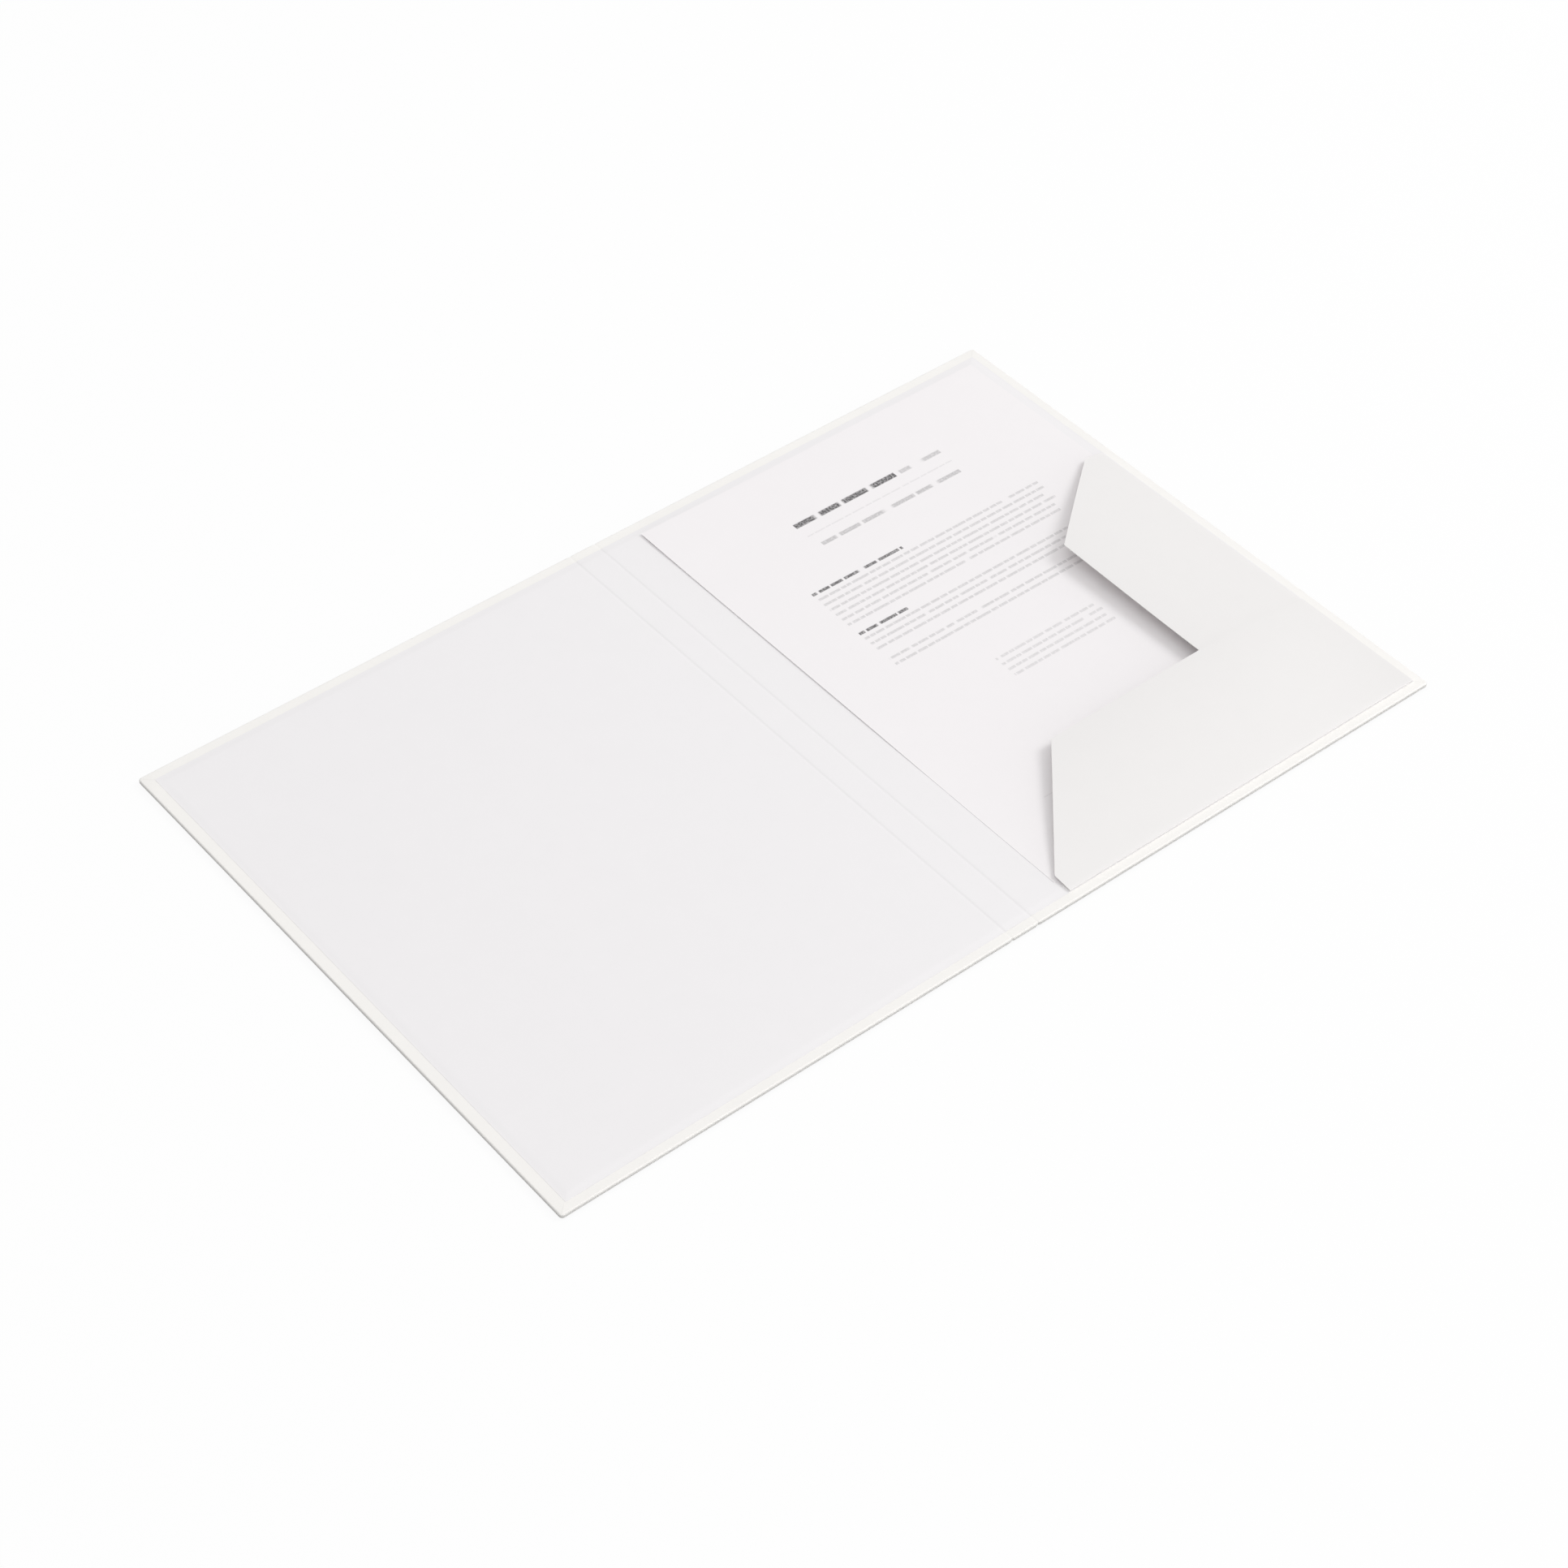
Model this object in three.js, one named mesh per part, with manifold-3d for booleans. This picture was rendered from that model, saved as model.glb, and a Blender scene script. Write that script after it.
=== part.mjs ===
// Elastic folder for A4 sheets, lying open on its outer faces with the inside up.
// Millimetres, +Z up. X runs across the open folder from the front cover's fore edge to the back
// cover's fore edge, Y from the foot to the head. The origin is on the table under the spine's centre.

import * as THREE from 'three';
import { mergeVertices } from 'three/addons/utils/BufferGeometryUtils.js';
import Module from 'manifold-3d';

const wasm = await Module();
wasm.setup();

// Covers and spine
const coverWidth = 241;
const coverHeight = 320;
const spineWidth = 14.8;
const creaseGap = 0.5;

// Layers, from the table up
const wrapThickness = 0.2;
const boardThickness = 2;
const liningThickness = 0.3;
const glueLine = 0.03;
const turnIn = 15;
const rimWidth = 4.8;

// Elastic band on the outer face of the back cover
const bandWidth = 8;
const bandThickness = 0.8;
const bandFromForeEdge = 20;
const slotFromEnd = 14;
const bandTail = 15;
const slotClearance = 0.3;

// Pocket flaps, folded up from the lining's right and foot edges
const cardThickness = 0.3;
const glueTab = 5;
const sideFlapWidth = 68.5;
const sideFlapLength = 211.2;
const sideFlapHeadEdge = 12.6;
const sideFlapSlant = 46;
const footFlapDepth = 71.9;
const footFlapLength = 213.5;
const footFlapEndEdge = 10.2;
const footFlapSlant = 51.7;
const cornerLift = 6.6;
const headLiftGain = 1.3;
const endLiftGain = 0.72;
const flapCells = 20;

// A4 sheet in the pocket
const sheetWidth = 210;
const sheetHeight = 297;
const sheetThickness = 0.2;
const sheetFromSideFold = 5.3;
const sheetFromFootFold = 8.3;
const sheetCornerLift = 2;
const sheetLiftReach = 70;
const sheetCells = 14;

// Places worked out from the sizes above
const foreEdge = spineWidth / 2 + coverWidth;
const crease = spineWidth / 2;
const endEdge = coverHeight / 2;
const underside = bandThickness + glueLine;
const boardBottom = underside + wrapThickness + glueLine;
const boardTop = boardBottom + boardThickness;
const rimTop = boardTop + glueLine + wrapThickness;
const liningBottom = rimTop + glueLine;
const liningTop = liningBottom + liningThickness;
const sideFold = foreEdge - rimWidth;
const footFold = -endEdge + rimWidth;
const bandX = foreEdge - bandFromForeEdge;
const slotY = endEdge - slotFromEnd;
const tabBottom = liningTop + glueLine;
const sideFlapBottom = tabBottom + cardThickness + glueLine;
const footFlapBottom = sideFlapBottom + cardThickness + glueLine;
const past = 5;

const wrapPaper = new THREE.MeshStandardMaterial({ color: 0xf4f2f0, roughness: 0.6, metalness: 0 });
const liningPaper = new THREE.MeshStandardMaterial({ color: 0xefedee, roughness: 0.75, metalness: 0 });
const pocketCard = new THREE.MeshStandardMaterial({ color: 0xf0eeed, roughness: 0.7, metalness: 0 });
const writingPaper = new THREE.MeshStandardMaterial({ color: 0xf5f3f2, roughness: 0.8, metalness: 0 });
const greyboard = new THREE.MeshStandardMaterial({ color: 0xa8a49c, roughness: 0.9, metalness: 0 });
const wovenElastic = new THREE.MeshStandardMaterial({ color: 0xe9e8e6, roughness: 0.85, metalness: 0 });

function plate(x0, x1, y0, y1, z0, z1, columns = 1, rows = 1) {
  const geometry = new THREE.BoxGeometry(x1 - x0, y1 - y0, z1 - z0, columns, rows, 1);
  geometry.translate((x0 + x1) / 2, (y0 + y1) / 2, (z0 + z1) / 2);
  return geometry;
}

function toSolid(geometry) {
  const bare = geometry.clone();
  bare.deleteAttribute('normal');
  bare.deleteAttribute('uv');
  const merged = mergeVertices(bare);
  const vertProperties = new Float32Array(merged.attributes.position.array);
  const triVerts = new Uint32Array(merged.index.array);
  return new wasm.Manifold(new wasm.Mesh({ numProp: 3, vertProperties, triVerts }));
}

function toGeometry(solid) {
  const mesh = solid.getMesh();
  const geometry = new THREE.BufferGeometry();
  geometry.setAttribute('position', new THREE.BufferAttribute(new Float32Array(mesh.vertProperties), 3));
  geometry.setIndex(new THREE.BufferAttribute(new Uint32Array(mesh.triVerts), 1));
  geometry.computeVertexNormals();
  return geometry;
}

function bendUp(geometry, rise) {
  const points = geometry.attributes.position;
  for (let i = 0; i < points.count; i += 1) {
    points.setZ(i, points.getZ(i) + rise(points.getX(i), points.getY(i)));
  }
  return geometry;
}

function upright(outline, z0, z1) {
  const shape = new THREE.Shape(outline.map(([x, y]) => new THREE.Vector2(x, y)));
  const geometry = new THREE.ExtrudeGeometry(shape, { depth: z1 - z0, bevelEnabled: false });
  geometry.translate(0, 0, z0);
  return geometry;
}

function named(name, geometry, material) {
  const mesh = new THREE.Mesh(geometry, material);
  mesh.name = name;
  return mesh;
}

// One panel's span in X, and whether each of its sides is an outer edge or a crease
const panels = {
  back: { from: crease + creaseGap / 2, to: foreEdge, leftIsEdge: false, rightIsEdge: true },
  spine: { from: -crease + creaseGap / 2, to: crease - creaseGap / 2, leftIsEdge: false, rightIsEdge: false },
  front: { from: -foreEdge, to: -crease - creaseGap / 2, leftIsEdge: true, rightIsEdge: false },
};

// A panel's span drawn in from its outer edges by an inset, and past its creases by an overrun
function span(panel, inset, overrun = 0) {
  return [
    panel.leftIsEdge ? panel.from + inset : panel.from - overrun,
    panel.rightIsEdge ? panel.to - inset : panel.to + overrun,
  ];
}

// Outer wrap of one panel: a sheet under the board, up its edges and turned in over its top
function wrap(panel) {
  const [x0, x1] = span(panel, 0);
  const [hollow0, hollow1] = span(panel, wrapThickness, past);
  const [window0, window1] = span(panel, turnIn, past);
  const inner = endEdge - wrapThickness;
  const windowEnd = endEdge - turnIn;
  const hollowBottom = underside + wrapThickness;
  const hollowTop = rimTop - wrapThickness;
  return toSolid(plate(x0, x1, -endEdge, endEdge, underside, rimTop))
    .subtract(toSolid(plate(hollow0, hollow1, -inner, inner, hollowBottom, hollowTop)))
    .subtract(toSolid(plate(window0, window1, -windowEnd, windowEnd, hollowBottom, rimTop + past)));
}

function board(panel) {
  const edge = wrapThickness + glueLine;
  const [x0, x1] = span(panel, edge);
  return toSolid(plate(x0, x1, -endEdge + edge, endEdge - edge, boardBottom, boardTop));
}

function lining(panel) {
  const [x0, x1] = span(panel, rimWidth);
  return toSolid(plate(x0, x1, -endEdge + rimWidth, endEdge - rimWidth, liningBottom, liningTop));
}

// The two slots that the band's ends go through, near the head and the foot
function bandSlots() {
  const halfX = bandWidth / 2 + slotClearance;
  const halfY = bandThickness / 2 + slotClearance;
  const slot = (y) => toSolid(plate(bandX - halfX, bandX + halfX, y - halfY, y + halfY, 0, boardTop + past));
  return slot(slotY).add(slot(-slotY));
}

// The shallow recesses in the board that the band's glued tails lie in, under the lining
function tailRecesses() {
  const halfX = bandWidth / 2 + slotClearance;
  const inner = slotY - bandThickness / 2 - bandTail - slotClearance;
  const bottom = boardTop - bandThickness - glueLine;
  return toSolid(plate(bandX - halfX, bandX + halfX, inner, slotY, bottom, boardTop + past))
    .add(toSolid(plate(bandX - halfX, bandX + halfX, -slotY, -inner, bottom, boardTop + past)));
}

// Elastic band: flat along the outer face, up through both slots and back along the board
function elasticBand() {
  const outer = slotY + bandThickness / 2;
  const inner = slotY - bandThickness / 2;
  const tail = inner - bandTail;
  const tailBottom = boardTop - bandThickness;
  const profile = [
    [-outer, 0], [outer, 0], [outer, boardTop], [tail, boardTop], [tail, tailBottom],
    [inner, tailBottom], [inner, bandThickness], [-inner, bandThickness],
    [-inner, tailBottom], [-tail, tailBottom], [-tail, boardTop], [-outer, boardTop],
  ];
  const geometry = upright(profile, -bandWidth / 2, bandWidth / 2);
  // The profile is drawn as length and height, then stood up so that its length runs along Y
  const turn = new THREE.Matrix4().makeBasis(
    new THREE.Vector3(0, 1, 0),
    new THREE.Vector3(0, 0, 1),
    new THREE.Vector3(1, 0, 0),
  );
  geometry.applyMatrix4(turn);
  geometry.translate(bandX, 0, 0);
  return geometry;
}

// How far the flaps spring up: nothing at their folds, most along their free edges
function pocketLift(x, y) {
  const { clamp, smoothstep, lerp } = THREE.MathUtils;
  const acrossSide = clamp((sideFold - x) / sideFlapWidth, 0, 1);
  const acrossFoot = clamp((y - footFold) / footFlapDepth, 0, 1);
  const towardsHead = smoothstep(y, footFold + footFlapDepth, footFold + sideFlapLength);
  const towardsEnd = smoothstep(-x, sideFlapWidth - sideFold, footFlapLength - sideFold);
  return cornerLift
    * Math.sin((acrossSide * Math.PI) / 2)
    * Math.sin((acrossFoot * Math.PI) / 2)
    * lerp(1, headLiftGain, towardsHead)
    * lerp(1, endLiftGain, towardsEnd);
}

// A lifted card over the whole pocket, which each flap's outline is cut from
function liftedCard(bottom) {
  const x0 = sideFold - Math.max(footFlapLength, sideFlapWidth);
  const y1 = footFold + Math.max(sideFlapLength, footFlapDepth);
  const top = bottom + cardThickness;
  const card = plate(x0, sideFold, footFold, y1, bottom, top, flapCells, flapCells);
  return toSolid(bendUp(card, pocketLift));
}

function flapFrom(outline, bottom) {
  const reach = bottom + cardThickness + cornerLift * headLiftGain + past;
  return liftedCard(bottom).intersect(toSolid(upright(outline, 0, reach)));
}

// Side flap: folded along the lining's right edge, with a narrow tab glued down inside the fold
function sideFlap() {
  const head = footFold + sideFlapLength;
  const foot = footFold + cardThickness + glueLine;
  const free = sideFold - sideFlapWidth;
  const tabFoot = footFold + glueTab + glueLine;
  const leaf = flapFrom([
    [free, foot], [sideFold, foot], [sideFold, head],
    [sideFold - sideFlapHeadEdge, head], [free, head - sideFlapSlant],
  ], sideFlapBottom);
  const tabTop = tabBottom + cardThickness;
  const tab = toSolid(plate(sideFold - glueTab, sideFold, tabFoot, head, tabBottom, tabTop));
  const foldTop = sideFlapBottom + cardThickness / 2;
  const fold = toSolid(plate(sideFold - cardThickness, sideFold, tabFoot, head, tabBottom, foldTop));
  return toGeometry(leaf.add(tab).add(fold));
}

// Foot flap: folded along the lining's foot edge, lying over the side flap where they meet
function footFlap() {
  const end = sideFold - footFlapLength;
  const free = footFold + footFlapDepth;
  const leaf = flapFrom([
    [end, footFold], [sideFold, footFold], [sideFold, free],
    [end + footFlapSlant, free], [end, footFold + footFlapEndEdge],
  ], footFlapBottom);
  const tabTop = tabBottom + cardThickness;
  const tab = toSolid(plate(end, sideFold, footFold, footFold + glueTab, tabBottom, tabTop));
  const foldTop = footFlapBottom + cardThickness / 2;
  const fold = toSolid(plate(end, sideFold, footFold, footFold + cardThickness, tabBottom, foldTop));
  return toGeometry(leaf.add(tab).add(fold));
}

// A4 sheet, flat on the lining apart from its head-left corner, which springs up a little
function letterSheet() {
  const right = sideFold - sheetFromSideFold;
  const left = right - sheetWidth;
  const foot = footFold + sheetFromFootFold;
  const head = foot + sheetHeight;
  const bottom = liningTop + glueLine;
  const sheet = plate(left, right, foot, head, bottom, bottom + sheetThickness, sheetCells, sheetCells);
  return bendUp(sheet, (x, y) => {
    const along = THREE.MathUtils.clamp((y - foot - footFlapDepth) / (sheetHeight - footFlapDepth), 0, 1);
    const across = 1 - THREE.MathUtils.smoothstep(x, left, left + sheetLiftReach);
    return sheetCornerLift * along * across;
  });
}

const backCover = new THREE.Group();
backCover.add(
  named('back_wrap', toGeometry(wrap(panels.back).subtract(bandSlots())), wrapPaper),
  named('back_board', toGeometry(board(panels.back).subtract(bandSlots()).subtract(tailRecesses())), greyboard),
  named('back_lining', toGeometry(lining(panels.back)), liningPaper),
  named('pocket_side_flap', sideFlap(), pocketCard),
  named('pocket_foot_flap', footFlap(), pocketCard),
  named('letter_sheet', letterSheet(), writingPaper),
  named('elastic_band', elasticBand(), wovenElastic),
);

const spine = new THREE.Group();
spine.add(
  named('spine_wrap', toGeometry(wrap(panels.spine)), wrapPaper),
  named('spine_board', toGeometry(board(panels.spine)), greyboard),
  named('spine_lining', toGeometry(lining(panels.spine)), liningPaper),
);

const frontCover = new THREE.Group();
frontCover.add(
  named('front_wrap', toGeometry(wrap(panels.front)), wrapPaper),
  named('front_board', toGeometry(board(panels.front)), greyboard),
  named('front_lining', toGeometry(lining(panels.front)), liningPaper),
);

const elasticFolder = new THREE.Group();
elasticFolder.add(backCover, spine, frontCover);

export default elasticFolder;
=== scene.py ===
import math

import bmesh
import bpy
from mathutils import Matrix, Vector


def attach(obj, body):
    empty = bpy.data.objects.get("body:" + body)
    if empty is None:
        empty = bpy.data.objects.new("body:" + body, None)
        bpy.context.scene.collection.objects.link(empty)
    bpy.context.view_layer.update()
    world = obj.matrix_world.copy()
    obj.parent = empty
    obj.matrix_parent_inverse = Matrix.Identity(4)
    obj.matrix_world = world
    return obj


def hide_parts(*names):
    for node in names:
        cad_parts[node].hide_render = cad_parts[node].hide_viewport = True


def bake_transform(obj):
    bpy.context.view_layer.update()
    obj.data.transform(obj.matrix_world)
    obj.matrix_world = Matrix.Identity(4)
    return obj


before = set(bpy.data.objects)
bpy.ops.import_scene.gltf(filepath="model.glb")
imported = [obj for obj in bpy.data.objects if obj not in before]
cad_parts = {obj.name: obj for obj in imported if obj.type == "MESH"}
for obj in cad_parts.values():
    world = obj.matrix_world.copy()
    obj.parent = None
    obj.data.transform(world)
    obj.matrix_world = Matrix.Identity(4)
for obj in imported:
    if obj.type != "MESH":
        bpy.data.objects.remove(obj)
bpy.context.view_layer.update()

# A millimetre in metres
MM = 0.001

# Sizes in millimetres, the same as the solids' own. X runs across the open folder and Y from foot to head.
COVER_WIDTH = 241
COVER_HEIGHT = 320
SPINE_WIDTH = 14.8
CREASE_GAP = 0.5
WRAP = 0.2
BOARD = 2
LINING = 0.3
GLUE = 0.03
TURN_IN = 15
RIM = 4.8
BAND_WIDTH = 8
BAND_THICKNESS = 0.8
BAND_FROM_FORE_EDGE = 20
SLOT_FROM_END = 14
BAND_TAIL = 15
SLOT_CLEARANCE = 0.3
CARD = 0.3
GLUE_TAB = 5
SIDE_FLAP_WIDTH = 68.5
SIDE_FLAP_LENGTH = 211.2
SIDE_FLAP_HEAD_EDGE = 12.6
SIDE_FLAP_SLANT = 46
FOOT_FLAP_DEPTH = 71.9
FOOT_FLAP_LENGTH = 213.5
FOOT_FLAP_END_EDGE = 10.2
FOOT_FLAP_SLANT = 51.7
CORNER_LIFT = 6.6
HEAD_LIFT_GAIN = 1.3
END_LIFT_GAIN = 0.72
SHEET_WIDTH = 210
SHEET_HEIGHT = 297
SHEET = 0.2
SHEET_FROM_SIDE_FOLD = 5.3
SHEET_FROM_FOOT_FOLD = 8.3

# How far the sheet's head-left corner springs up, less than the solids' does, and how far in from its left
# edge that reaches. Then the stretches where the left edge rises, as shares of its length above the foot
# flap, each with its share of the lift
SHEET_CORNER_LIFT = 0.8
SHEET_LIFT_REACH = 70
SHEET_RISES = ((0, 0.3, 0.45), (0.8, 1, 0.55))

# How much further in than the solids' the photograph shows the lining's left and head edges, the side fold
# and the free end of the foot flap's slant
LINING_LEFT_IN = 0.9
LINING_HEAD_IN = 0.5
SIDE_FOLD_IN = 0.8
FOOT_SLANT_IN = 1.4

# Places worked out from the sizes
CREASE = SPINE_WIDTH / 2
FORE_EDGE = CREASE + COVER_WIDTH
END_EDGE = COVER_HEIGHT / 2
UNDERSIDE = BAND_THICKNESS + GLUE
BOARD_BOTTOM = UNDERSIDE + WRAP + GLUE
BOARD_TOP = BOARD_BOTTOM + BOARD
RIM_TOP = BOARD_TOP + GLUE + WRAP
LINING_BOTTOM = RIM_TOP + GLUE
LINING_TOP = LINING_BOTTOM + LINING
SIDE_FOLD = FORE_EDGE - RIM
FOOT_FOLD = RIM - END_EDGE
BAND_X = FORE_EDGE - BAND_FROM_FORE_EDGE
SLOT_Y = END_EDGE - SLOT_FROM_END
SLOT_HALF_X = BAND_WIDTH / 2 + SLOT_CLEARANCE
SLOT_HALF_Y = BAND_THICKNESS / 2 + SLOT_CLEARANCE
TAB_BOTTOM = LINING_TOP + GLUE
SIDE_FLAP_BOTTOM = TAB_BOTTOM + CARD + GLUE
FOOT_FLAP_BOTTOM = SIDE_FLAP_BOTTOM + CARD + GLUE

# How close counts as the same height, and the angle that shades as a sharp edge
NEAR = 0.01
SHARP = 35

# How the wrap and the boards are rounded, and how far in from a rounded edge, as a share of its radius, a
# loop holds the flat face
EDGE_ROUND = 0.8
CORNER_ROUND = 1.7
BOARD_ROUND = 0.9
CORNER_PARTS = 6
HOLD_INSIDE = 1.15

# Where the creases bend, and how deep they are pressed into the inner and the outer face and from the ends
CREASE_REACH = 2.0
CREASE_STEPS = (0, 0.15, 0.3, 0.45, 0.6, 0.8, 1.05, 1.35, 1.7, 2.0)
GROOVE_WIDTH = 0.75
GROOVE_INSIDE = 0.13
GROOVE_OUTSIDE = 0.25
GROOVE_AT_ENDS = 0.35
GROOVE_END_REACH = 1.2

# How the lining dips to its edges, what is left of its thickness there, and over what length it stops
# dipping beside the flaps
LINING_ROUND = 0.04
LINING_EASE = 4.5
LINING_EASE_STEPS = (0.08, 0.5, 1.1, 1.8, 2.6, 3.4, 4.2, 4.8)
LINING_EDGE_LEFT = 0.05
BESIDE_FLAPS = 2

# How far a half reaches past the spine's middle before it is cut off there, and from where to where a cutter
# reaches through the boards
PAST = 8
CUTTER_BOTTOM = -1
CUTTER_TOP = 9

# How finely the flaps, the sheet and the elastic are divided
ROLL_PARTS = 8
LEAF_PARTS = 26
LENGTH_PARTS = 60
FOLD_STEPS = (0, 0.12, 0.3)
SHEET_PARTS = (60, 84)
BAND_PARTS = 10
BEND_PARTS = 6

# Over what distance a flap's rise sets in at its fold, the radius of the elastic's bends into its slots, and
# how far before them its straight run has a loop
RISE_REACH = 0.6
BAND_BEND = 0.6
BEND_LEAD = 6

# The sheet's print as plain dashes. Each line is a block: its left, right and top, the pitch and number of
# its rows, how dark it is, where its chance pattern starts, and a dash's height, as a share of the pitch,
# and length
SMALL_HEIGHT = 0.36
SMALL_LENGTH = 5.6
PRINT = (
    (89.4, 152.6, 111.1, 6.0, 1, 0.90, 2, 0.56, 21),
    (155.4, 182.0, 110.9, 6.0, 1, 0.34, 5, 0.44, 13),
    (89.8, 181.2, 100.3, 3.0, 1, 0.12, 8, 0.30, 6),
    (92.0, 179.4, 93.0, 5.2, 1, 0.38, 12, 0.48, 17),
    (64.6, 120.4, 66.6, 4.4, 1, 0.86, 15, 0.42, 11),
    (64.6, 95.2, 31.8, 4.4, 1, 0.86, 18, 0.42, 9),
    (60.0, 190.0, -103.4, 3.0, 1, 0.10, 21, 0.20, 30),
    (64.6, 208.0, 62.1, 4.4, 6, 0.25, 3, SMALL_HEIGHT, SMALL_LENGTH),
    (64.6, 196.0, 27.7, 4.4, 3, 0.25, 11, SMALL_HEIGHT, SMALL_LENGTH),
    (64.6, 190.0, 10.0, 4.4, 2, 0.25, 23, SMALL_HEIGHT, SMALL_LENGTH),
    (103.0, 169.0, -21.2, 4.4, 4, 0.20, 37, SMALL_HEIGHT, SMALL_LENGTH),
)

# How high the papers' and the board's tooth and the elastic's weave stand, in metres
WRAP_TOOTH = 0.00003
LINING_TOOTH = 0.00002
CARD_TOOTH = 0.00002
LETTER_TOOTH = 0.000015
BOARD_TOOTH = 0.00003
WEAVE_DEPTH = 0.00012

# The elastic's cords and ribs, in millimetres
CORD_PITCH = 0.8
RIB_PITCH = 0.55

# The camera that the photograph's edges give, in metres and degrees, and its lens in millimetres
AIM = (-0.02314, -0.02301, 0.00083)
DISTANCE = 1.62664
ELEVATION = 44.79
AZIMUTH = -38.927
LENS = 83.13
SENSOR = 36

# The floor, the sky and the lamp, and how often light may bounce between the sheets
FLOOR_HALF = 6
FLOOR_BOUNCE = (0.15, 0.15, 0.15, 1)
WHITE = (1, 1, 1, 1)
BACKDROP = (0.99, 0.99, 0.99, 1)
FLOOR_GLOW = 0.92
SKY_EVEN = 0.345
SKY_RIGHT = 0.16
SKY_OVERHEAD = 1.08
SKY_FRONT = 3.0
OVERHEAD_X = -0.28
OVERHEAD_Z = 0.96
LAMP_DIRECTION = (0.9, -0.42, 1.0)
LAMP_DISTANCE = 4
LAMP_SIZE = 1.91
LAMP_POWER = 49.4
BOUNCES = 16


def smooth(value, low, high):
    """0 below low and 1 above high, smoothly between."""
    t = min(max((value - low) / (high - low), 0), 1)
    return t * t * (3 - 2 * t)


def plain(red, green, blue):
    """A colour as its eye values from 0 to 255, made the light values that the shader takes."""
    def light(level):
        level = level / 255
        return level / 12.92 if level <= 0.04045 else ((level + 0.055) / 1.055) ** 2.4
    return (light(red), light(green), light(blue), 1)


# The colours under neutral light, with painted shade for the lining's creases and a painted highlight for
# the card's folds
WRAP_SHADE = plain(244, 242, 239)
WRAP_WORN = plain(249, 247, 244)
WRAP_FOLD = plain(196, 193, 190)
LINING_SHADE = plain(239, 237, 238)
# Painted shade for the lining's crease valleys
LINING_CREASE_SHADE = plain(218, 216, 216)
CARD_SHADE = plain(234, 232, 231)
# Painted highlight for the card along its folds
CARD_FOLD_HIGHLIGHT = plain(237, 235, 234)
LETTER_SHADE = plain(242, 239, 240)
PRINT_GREY = plain(38, 36, 38)
BOARD_DARK = plain(150, 144, 134)
BOARD_PALE = plain(182, 177, 168)
FLECK_DARK = plain(106, 100, 92)
FLECK_PALE = plain(214, 210, 202)
ELASTIC_DEEP = plain(206, 204, 201)
ELASTIC_PALE = plain(238, 237, 235)


# Shader sums: a Number is one socket, and arithmetic on it adds the Math nodes


class Number:
    def __init__(self, finish, socket):
        self.finish = finish
        self.socket = socket

    def sum(self, operation, *values):
        return self.finish.node("ShaderNodeMath", {"operation": operation}, dict(enumerate(values)))

    def __add__(self, other):
        return self.sum("ADD", self, other)

    __radd__ = __add__

    def __sub__(self, other):
        return self.sum("SUBTRACT", self, other)

    def __rsub__(self, other):
        return self.sum("SUBTRACT", other, self)

    def __mul__(self, other):
        return self.sum("MULTIPLY", self, other)

    def __truediv__(self, other):
        return self.sum("DIVIDE", self, other)

    def floor(self):
        return self.sum("FLOOR", self)

    def distance(self, place):
        return self.sum("ABSOLUTE", self - place)

    def wave(self):
        """Up and down between 0 and 1, once in each full turn."""
        return self.sum("COSINE", self) * 0.5 + 0.5

    def smaller(self, other):
        return self.sum("MINIMUM", self, other)

    def larger(self, other):
        return self.sum("MAXIMUM", self, other)

    def rise(self, low, high):
        """0 below low and 1 above high, smoothly between."""
        settings = {"interpolation_type": "SMOOTHSTEP"}
        return self.finish.node("ShaderNodeMapRange", settings, {0: self, 1: low, 2: high, 3: 0, 4: 1})

    def inside(self, low, high, soft):
        """1 between low and high, with edges that are soft wide."""
        return self.rise(low - soft / 2, low + soft / 2) * (1 - self.rise(high - soft / 2, high + soft / 2))


class Nodes:
    """The nodes of one material or world, and the calls that add to them."""

    def __init__(self, holder):
        holder.use_nodes = True
        self.tree = holder.node_tree

    def node(self, kind, settings=None, inputs=None, output=0):
        made = self.tree.nodes.new(kind)
        for key, value in (settings or {}).items():
            setattr(made, key, value)
        for key, value in (inputs or {}).items():
            self.feed(made.inputs[key], value)
        return Number(self, made.outputs[output])

    def feed(self, socket, value):
        if isinstance(value, Number):
            self.tree.links.new(value.socket, socket)
        else:
            socket.default_value = value

    def vector(self, operation, first, others):
        return self.node("ShaderNodeVectorMath", {"operation": operation}, {0: first, **others})

    def split(self, vector):
        return [self.node("ShaderNodeSeparateXYZ", None, {0: vector}, output=axis) for axis in range(3)]

    def at(self, x, y, z=0):
        """A place put together from numbers."""
        return self.node("ShaderNodeCombineXYZ", None, {0: x, 1: y, 2: z})

    def noise(self, place, scale, detail, roughness):
        """Soft noise between 0 and 1, with scale of its cells to a millimetre."""
        inputs = {"Vector": place, "Scale": scale, "Detail": detail, "Roughness": roughness}
        return self.node("ShaderNodeTexNoise", None, inputs)

    def chance(self, place):
        """A chance value between 0 and 1, its own for each pair of numbers."""
        return self.node("ShaderNodeTexWhiteNoise", {"noise_dimensions": "2D"}, {0: place})

    def mix(self, share, first, second):
        """From the first colour to the second as share goes from 0 to 1."""
        return self.node("ShaderNodeMix", {"data_type": "RGBA"}, {0: share, 6: first, 7: second}, output=2)

    def bump(self, height, distance):
        return self.node("ShaderNodeBump", None, {"Height": height, "Distance": distance, "Strength": 1})

    def seen(self):
        """1 for the rays that show the backdrop: from the camera, and in gloss and glass."""
        rays = [self.node("ShaderNodeLightPath", output=name) for name in (
            "Is Camera Ray", "Is Glossy Ray", "Is Transmission Ray"
        )]
        return rays[0].larger(rays[1]).larger(rays[2])


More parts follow.
